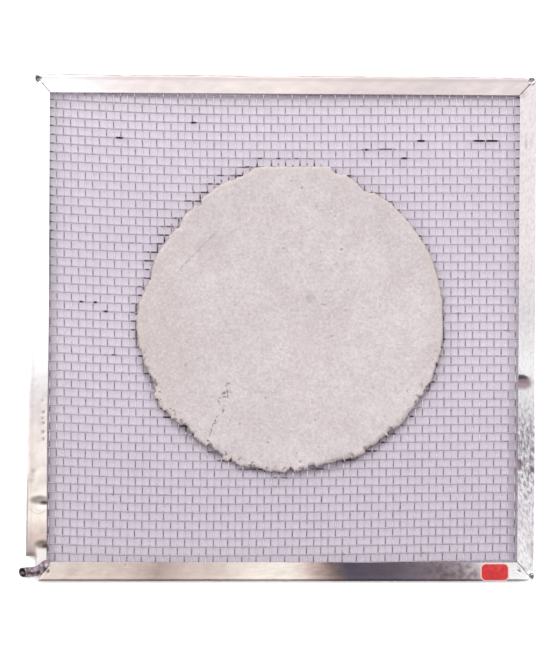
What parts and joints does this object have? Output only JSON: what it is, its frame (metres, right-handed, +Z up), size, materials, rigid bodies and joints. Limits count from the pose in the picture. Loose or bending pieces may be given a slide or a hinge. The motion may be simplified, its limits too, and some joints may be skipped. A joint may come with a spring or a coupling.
{
  "type": "wire gauze",
  "caption": "Flat square of woven wire with a round ceramic pad pressed through its middle, bound by a folded metal strip, to spread a burner's heat under laboratory glassware.",
  "frame": {"origin": "middle of the ceramic disc's underside, which is the face that the gauze lies on", "axes": "+Z up out of the flat gauze, +Y towards the side opposite the sticker, +X to the right seen from above"},
  "size_m": [0.1545, 0.1511, 0.0042],
  "materials": {
    "gauze_wire": "drawn steel wire, dulled",
    "ceramic": "matte, pressed, with the weave showing faintly",
    "tinned_sheet": "bright tinned sheet, hand folded and creased",
    "sticker_red": "gloss red film with a pale edge"
  },
  "bodies": {
    "root": {"wire_mesh": "gauze_wire", "ceramic_disc": "ceramic", "edge_binding": "tinned_sheet", "sticker": "sticker_red"}
  },
  "joints": []
}
